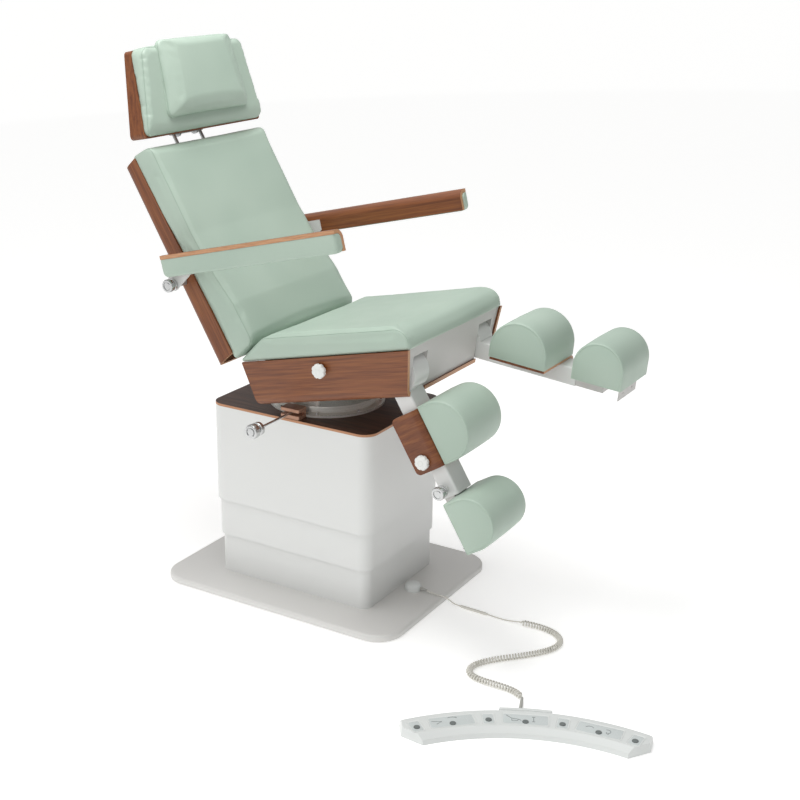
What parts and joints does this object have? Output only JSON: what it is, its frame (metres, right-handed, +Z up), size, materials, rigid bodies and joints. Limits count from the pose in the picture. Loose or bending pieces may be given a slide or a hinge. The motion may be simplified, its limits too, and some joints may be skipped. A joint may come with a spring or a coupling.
{
  "type": "podiatry chair",
  "caption": "Reclining treatment chair on a telescoping column, with separate leg rests, fold-up armrests, headrest and corded foot control.",
  "frame": {"origin": "on the floor, on the swivel axis", "axes": "+Z up; the sitter looks along -Y; the sitter's right hand is on the -X side"},
  "size_m": [1.1607, 1.9087, 1.759],
  "materials": {
    "upholstery": "coated fabric, soft satin",
    "walnut": "satin veneer",
    "board": "dark satin veneer",
    "lacquer": "satin lacquer",
    "steel": "brushed",
    "chrome": "polished",
    "plate_grey": "satin lacquer",
    "tan": "matte",
    "knob_white": "satin",
    "control": "fine matte",
    "button": "gloss",
    "cable": "satin",
    "feet": "matte"
  },
  "bodies": {
    "base": {"base_plate": "lacquer", "plate_feet": "feet", "lower_shroud": "lacquer", "lift_outer_tube": "steel", "cable_boss": "control", "control_cable": "cable", "cable_sleeve": "cable", "curly_cord": "cable", "foot_control": "control"},
    "column_middle": {"middle_shroud": "lacquer", "lift_middle_tube": "steel"},
    "lift": {"upper_shroud": "lacquer", "top_board": "board", "lift_inner_tube": "steel", "bearing_ring": "steel", "brake_block": "tan"},
    "brake": {"brake_lever": "chrome"},
    "swivel": {"turntable": "steel"},
    "seat": {"seat_tray": "walnut", "front_plate": "plate_grey", "seat_frame": "lacquer", "seat_cushion": "upholstery"},
    "back": {"back_shell": "walnut", "back_frame": "steel", "back_cushion": "upholstery"},
    "head_slide": {"headrest_rods": "chrome"},
    "head": {"head_shell": "walnut", "head_cushion": "upholstery", "head_pillow": "upholstery"},
    "seat_knob_right": {"seat_knob_right": "knob_white"},
    "arm_right": {"arm_board_right": "walnut", "arm_pad_right": "upholstery", "arm_bracket_right": "lacquer"},
    "arm_knob_right": {"arm_knob_right": "chrome"},
    "leg_right": {"leg_tube_right": "lacquer"},
    "calf_right": {"calf_shell_right": "walnut", "calf_pad_right": "upholstery"},
    "calf_knob_right": {"calf_knob_right": "knob_white"},
    "foot_right": {"foot_slide_right": "steel", "foot_pad_right": "upholstery"},
    "plunger_right": {"index_plunger_right": "chrome"},
    "seat_knob_left": {"seat_knob_left": "knob_white"},
    "arm_left": {"arm_board_left": "walnut", "arm_pad_left": "upholstery", "arm_bracket_left": "lacquer"},
    "arm_knob_left": {"arm_knob_left": "chrome"},
    "leg_left": {"leg_tube_left": "lacquer"},
    "calf_left": {"calf_shell_left": "walnut", "calf_pad_left": "upholstery"},
    "calf_knob_left": {"calf_knob_left": "knob_white"},
    "foot_left": {"foot_slide_left": "steel", "foot_pad_left": "upholstery"},
    "plunger_left": {"index_plunger_left": "chrome"},
    "foot_button_1": {"foot_button_1": "button"},
    "foot_button_2": {"foot_button_2": "button"},
    "foot_button_3": {"foot_button_3": "button"},
    "foot_button_4": {"foot_button_4": "button"},
    "foot_button_5": {"foot_button_5": "button"},
    "foot_button_6": {"foot_button_6": "button"},
    "foot_button_7": {"foot_button_7": "button"}
  },
  "joints": [
    {"name": "column_half_lift", "type": "slide", "parent": "base", "child": "column_middle", "axis": [0, 0, 1], "range_m": [-0.12, 0.03]},
    {"name": "column_lift", "type": "slide", "parent": "base", "child": "lift", "axis": [0, 0, 1], "range_m": [-0.24, 0.06]},
    {"name": "swivel_turn", "type": "hinge", "parent": "lift", "child": "swivel", "pos_m": [0, 0, 0.65], "axis": [0, 0, 1], "range_deg": [-120, 120]},
    {"name": "brake_turn", "type": "hinge", "parent": "lift", "child": "brake", "pos_m": [-0.205, -0.008, 0.645], "axis": [0, 0, 1], "range_deg": [-18, 18]},
    {"name": "seat_tilt", "type": "hinge", "parent": "swivel", "child": "seat", "pos_m": [0, -0.02, 0.745], "axis": [-1, 0, 0], "range_deg": [-13, 6]},
    {"name": "back_recline", "type": "hinge", "parent": "seat", "child": "back", "pos_m": [0, 0.165, 0.795], "axis": [-1, 0, 0], "range_deg": [0, 58]},
    {"name": "headrest_height", "type": "slide", "parent": "back", "child": "head_slide", "axis": [0, 0.509, 0.8607], "range_m": [0, 0.08]},
    {"name": "headrest_tilt", "type": "hinge", "parent": "head_slide", "child": "head", "pos_m": [0, 0.5529, 1.45324], "axis": [-1, 0, 0], "range_deg": [-5, 25]},
    {"name": "seat_knob_turn_right", "type": "hinge", "parent": "seat", "child": "seat_knob_right", "pos_m": [-0.3, -0.17248, 0.83462], "axis": [-1, 0, 0], "continuous": true},
    {"name": "arm_swing_right", "type": "hinge", "parent": "back", "child": "arm_right", "pos_m": [-0.348, 0.338, 1.039], "axis": [-1, 0, 0], "range_deg": [-15, 105]},
    {"name": "arm_knob_turn_right", "type": "hinge", "parent": "back", "child": "arm_knob_right", "pos_m": [-0.36, 0.338, 1.039], "axis": [-1, 0, 0], "continuous": true},
    {"name": "leg_swing_right", "type": "hinge", "parent": "seat", "child": "leg_right", "pos_m": [-0.206, -0.4095, 0.8516], "axis": [1, 0, 0], "range_deg": [-66.5, 13.5]},
    {"name": "calf_slide_right", "type": "slide", "parent": "leg_right", "child": "calf_right", "axis": [0, -0.5225, -0.8526], "range_m": [-0.03, 0.045]},
    {"name": "calf_knob_turn_right", "type": "hinge", "parent": "calf_right", "child": "calf_knob_right", "pos_m": [-0.276, -0.51687, 0.60366], "axis": [-1, 0, 0], "continuous": true},
    {"name": "foot_slide_right", "type": "slide", "parent": "leg_right", "child": "foot_right", "axis": [0, -0.5225, -0.8526], "range_m": [0, 0.1]},
    {"name": "plunger_pull_right", "type": "slide", "parent": "leg_right", "child": "plunger_right", "axis": [-1, 0, 0], "range_m": [0, 0.008], "stiffness_N_per_m": 1500, "springref_m": -0.006},
    {"name": "seat_knob_turn_left", "type": "hinge", "parent": "seat", "child": "seat_knob_left", "pos_m": [0.3, -0.17248, 0.83462], "axis": [1, 0, 0], "continuous": true},
    {"name": "arm_swing_left", "type": "hinge", "parent": "back", "child": "arm_left", "pos_m": [0.348, 0.338, 1.039], "axis": [-1, 0, 0], "range_deg": [-15, 105]},
    {"name": "arm_knob_turn_left", "type": "hinge", "parent": "back", "child": "arm_knob_left", "pos_m": [0.36, 0.338, 1.039], "axis": [1, 0, 0], "continuous": true},
    {"name": "leg_swing_left", "type": "hinge", "parent": "seat", "child": "leg_left", "pos_m": [0.206, -0.4095, 0.8516], "axis": [1, 0, 0], "range_deg": [-13.4, 66.6]},
    {"name": "calf_slide_left", "type": "slide", "parent": "leg_left", "child": "calf_left", "axis": [0, -0.9956, -0.0941], "range_m": [-0.068, 0.007]},
    {"name": "calf_knob_turn_left", "type": "hinge", "parent": "calf_left", "child": "calf_knob_left", "pos_m": [0.276, -0.71007, 0.78502], "axis": [1, 0, 0], "continuous": true},
    {"name": "foot_slide_left", "type": "slide", "parent": "leg_left", "child": "foot_left", "axis": [0, -0.9956, -0.0941], "range_m": [0, 0.1]},
    {"name": "plunger_pull_left", "type": "slide", "parent": "leg_left", "child": "plunger_left", "axis": [1, 0, 0], "range_m": [0, 0.008], "stiffness_N_per_m": 1500, "springref_m": -0.006},
    {"name": "press_1", "type": "slide", "parent": "base", "child": "foot_button_1", "axis": [0, 0, -1], "range_m": [0, 0.0025], "stiffness_N_per_m": 900, "springref_m": -0.001},
    {"name": "press_2", "type": "slide", "parent": "base", "child": "foot_button_2", "axis": [0, 0, -1], "range_m": [0, 0.0025], "stiffness_N_per_m": 900, "springref_m": -0.001},
    {"name": "press_3", "type": "slide", "parent": "base", "child": "foot_button_3", "axis": [0, 0, -1], "range_m": [0, 0.0025], "stiffness_N_per_m": 900, "springref_m": -0.001},
    {"name": "press_4", "type": "slide", "parent": "base", "child": "foot_button_4", "axis": [0, 0, -1], "range_m": [0, 0.0025], "stiffness_N_per_m": 900, "springref_m": -0.001},
    {"name": "press_5", "type": "slide", "parent": "base", "child": "foot_button_5", "axis": [0, 0, -1], "range_m": [0, 0.0025], "stiffness_N_per_m": 900, "springref_m": -0.001},
    {"name": "press_6", "type": "slide", "parent": "base", "child": "foot_button_6", "axis": [0, 0, -1], "range_m": [0, 0.0025], "stiffness_N_per_m": 900, "springref_m": -0.001},
    {"name": "press_7", "type": "slide", "parent": "base", "child": "foot_button_7", "axis": [0, 0, -1], "range_m": [0, 0.0025], "stiffness_N_per_m": 900, "springref_m": -0.001}
  ],
  "couplings": [
    {"joint": "column_half_lift", "follows": "column_lift", "ratio": 0.5}
  ]
}
